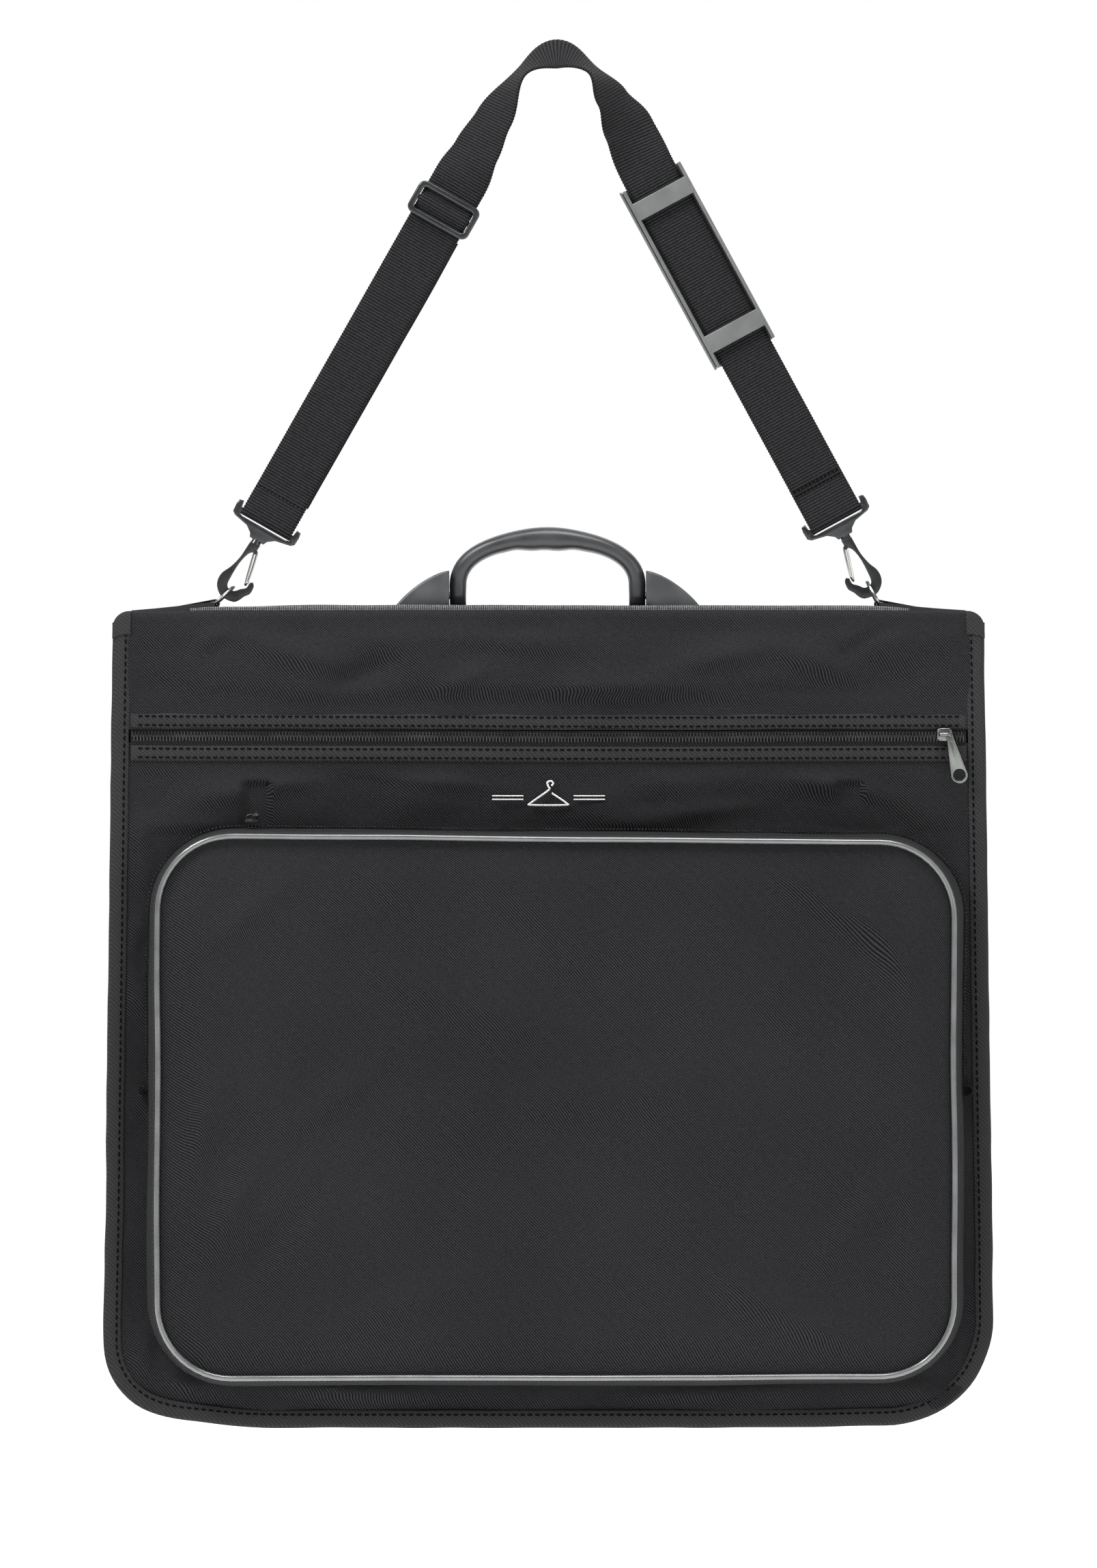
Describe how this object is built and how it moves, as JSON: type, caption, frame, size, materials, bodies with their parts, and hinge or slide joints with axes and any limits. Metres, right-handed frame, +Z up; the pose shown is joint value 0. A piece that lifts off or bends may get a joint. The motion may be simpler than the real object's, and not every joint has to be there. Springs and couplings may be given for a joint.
{
  "type": "garment bag",
  "caption": "Bifold garment bag hanging from its webbing shoulder strap, with a moulded carry handle on the fold, a front zip and a large piped front pocket.",
  "frame": {"origin": "middle of the shoulder strap's webbing at its top, where it hangs over a peg", "axes": "+Z up, front of the bag towards -Y, +X to the right seen from the front"},
  "size_m": [0.6, 0.0972, 0.9382],
  "materials": {
    "oxford_cloth": "matte black polyester oxford weave",
    "binding_tape": "charcoal woven tape",
    "strap_webbing": "black ribbed polypropylene webbing",
    "grey_webbing": "grey ribbed webbing",
    "dark_plastic": "dark grey moulded nylon",
    "pad_rubber": "mid grey moulded, satin",
    "nylon_coil": "black nylon coil",
    "zip_metal": "gunmetal plated die casting",
    "bright_steel": "bright nickel-plated steel wire",
    "silver_piping": "glossy silver-grey vinyl piping",
    "white_thread": "white embroidery thread"
  },
  "bodies": {
    "strap": {"shoulder_strap": "strap_webbing", "strap_return_run": "strap_webbing", "hook_loop_left": "dark_plastic", "hook_loop_right": "dark_plastic"},
    "webbing_slider": {"webbing_slider": "dark_plastic", "strap_end_loop": "strap_webbing"},
    "shoulder_pad": {"shoulder_pad": "pad_rubber"},
    "hook_left": {"hook_left": "dark_plastic"},
    "hook_right": {"hook_right": "dark_plastic"},
    "gate_left": {"gate_left": "bright_steel"},
    "gate_right": {"gate_right": "bright_steel"},
    "fold": {"spine_panel": "oxford_cloth", "spine_board": "dark_plastic", "spine_edge_front": "grey_webbing", "spine_edge_back": "grey_webbing", "handle_base_plate": "dark_plastic", "handle_cap_left": "dark_plastic", "handle_cap_right": "dark_plastic", "handle_pin_left": "bright_steel", "handle_pin_right": "bright_steel", "cap_rivet_1": "bright_steel", "cap_rivet_2": "bright_steel", "cap_rivet_3": "bright_steel", "cap_rivet_4": "bright_steel", "ring_tab_left": "strap_webbing", "ring_tab_right": "strap_webbing", "ring_left": "bright_steel", "ring_right": "bright_steel"},
    "handle": {"handle_grip": "dark_plastic"},
    "front_half": {"front_top_panel": "oxford_cloth", "front_main_panel": "oxford_cloth", "front_lining_left": "oxford_cloth", "front_lining_right": "oxford_cloth", "front_lining_coil": "nylon_coil", "front_binding": "binding_tape", "front_zip_band_upper": "binding_tape", "front_zip_band_lower": "binding_tape", "front_zip_coil": "nylon_coil", "embroidered_hanger": "white_thread", "tie_strap_front": "binding_tape", "pocket_face": "oxford_cloth", "pocket_gusset": "oxford_cloth", "pocket_piping": "silver_piping", "pocket_zip_coil": "nylon_coil", "pocket_tab_left": "strap_webbing", "pocket_tab_right": "strap_webbing"},
    "front_zip_slider": {"front_zip_slider": "zip_metal"},
    "front_zip_pull": {"front_zip_pull": "zip_metal"},
    "pocket_zip_slider": {"pocket_zip_slider": "zip_metal"},
    "pocket_zip_pull": {"pocket_zip_pull": "zip_metal"},
    "back_half": {"back_panel": "oxford_cloth", "back_lining_left": "oxford_cloth", "back_lining_right": "oxford_cloth", "back_lining_coil": "nylon_coil", "back_binding": "binding_tape", "hanger_bracket": "bright_steel", "tie_strap_back": "binding_tape"},
    "lining_zip_slider": {"lining_zip_slider": "zip_metal"},
    "lining_zip_pull": {"lining_zip_pull": "zip_metal"}
  },
  "joints": [
    {"name": "bag_swing", "type": "hinge", "parent": "strap", "child": "fold", "pos_m": [-0.22263, 0, -0.36434], "axis": [1, 0, 0.0044], "range_deg": [-20, 20]},
    {"name": "front_unfold", "type": "hinge", "parent": "fold", "child": "front_half", "pos_m": [-0.0053, -0.027, -0.3771], "axis": [-1, 0, 0], "range_deg": [0, 90]},
    {"name": "back_unfold", "type": "hinge", "parent": "fold", "child": "back_half", "pos_m": [-0.0053, 0.027, -0.3771], "axis": [1, 0, 0], "range_deg": [0, 90]},
    {"name": "handle_tip", "type": "hinge", "parent": "fold", "child": "handle", "pos_m": [-0.0059, 0, -0.366], "axis": [1, 0, 0], "range_deg": [-75, 75]},
    {"name": "front_zip_travel", "type": "slide", "parent": "front_half", "child": "front_zip_slider", "axis": [-1, 0, 0], "range_m": [0, 0.53]},
    {"name": "front_pull_swing", "type": "hinge", "parent": "front_zip_slider", "child": "front_zip_pull", "pos_m": [0.2645, -0.0343, -0.4601], "axis": [-1, 0, 0], "range_deg": [0, 150]},
    {"name": "pocket_zip_travel", "type": "slide", "parent": "front_half", "child": "pocket_zip_slider", "axis": [1, 0, 0], "range_m": [0, 0.4]},
    {"name": "pocket_pull_swing", "type": "hinge", "parent": "pocket_zip_slider", "child": "pocket_zip_pull", "pos_m": [-0.202, -0.0338, -0.51432], "axis": [-1, 0, 0], "range_deg": [0, 110]},
    {"name": "lining_zip_travel", "type": "slide", "parent": "back_half", "child": "lining_zip_slider", "axis": [0, 0, 1], "range_m": [0, 0.45]},
    {"name": "lining_pull_swing", "type": "hinge", "parent": "lining_zip_slider", "child": "lining_zip_pull", "pos_m": [-0.0023, 0.0005, -0.88], "axis": [-1, 0, 0], "range_deg": [0, 12]},
    {"name": "webbing_slider_travel", "type": "slide", "parent": "strap", "child": "webbing_slider", "axis": [-0.4927, 0, -0.8702], "range_m": [0, 0.12], "deforming": ["strap_return_run"]},
    {"name": "pad_travel", "type": "slide", "parent": "strap", "child": "shoulder_pad", "axis": [0.4763, 0, -0.8793], "range_m": [0, 0.085]},
    {"name": "hook_left_swivel", "type": "hinge", "parent": "strap", "child": "hook_left", "pos_m": [-0.20166, 0, -0.32728], "axis": [-0.4384, 0, -0.8988], "range_deg": [-10, 10]},
    {"name": "gate_left_open", "type": "hinge", "parent": "hook_left", "child": "gate_left", "pos_m": [-0.20335, 0, -0.33713], "axis": [0, 1, 0], "range_deg": [0, 20], "stiffness_Nm_per_rad": 0.05, "springref_deg": -5.73},
    {"name": "hook_right_swivel", "type": "hinge", "parent": "strap", "child": "hook_right", "pos_m": [0.19446, 0, -0.32399], "axis": [0.3746, 0, -0.9272], "range_deg": [-10, 10]},
    {"name": "gate_right_open", "type": "hinge", "parent": "hook_right", "child": "gate_right", "pos_m": [0.19546, 0, -0.33394], "axis": [0, -1, 0], "range_deg": [0, 20], "stiffness_Nm_per_rad": 0.05, "springref_deg": -5.73}
  ]
}
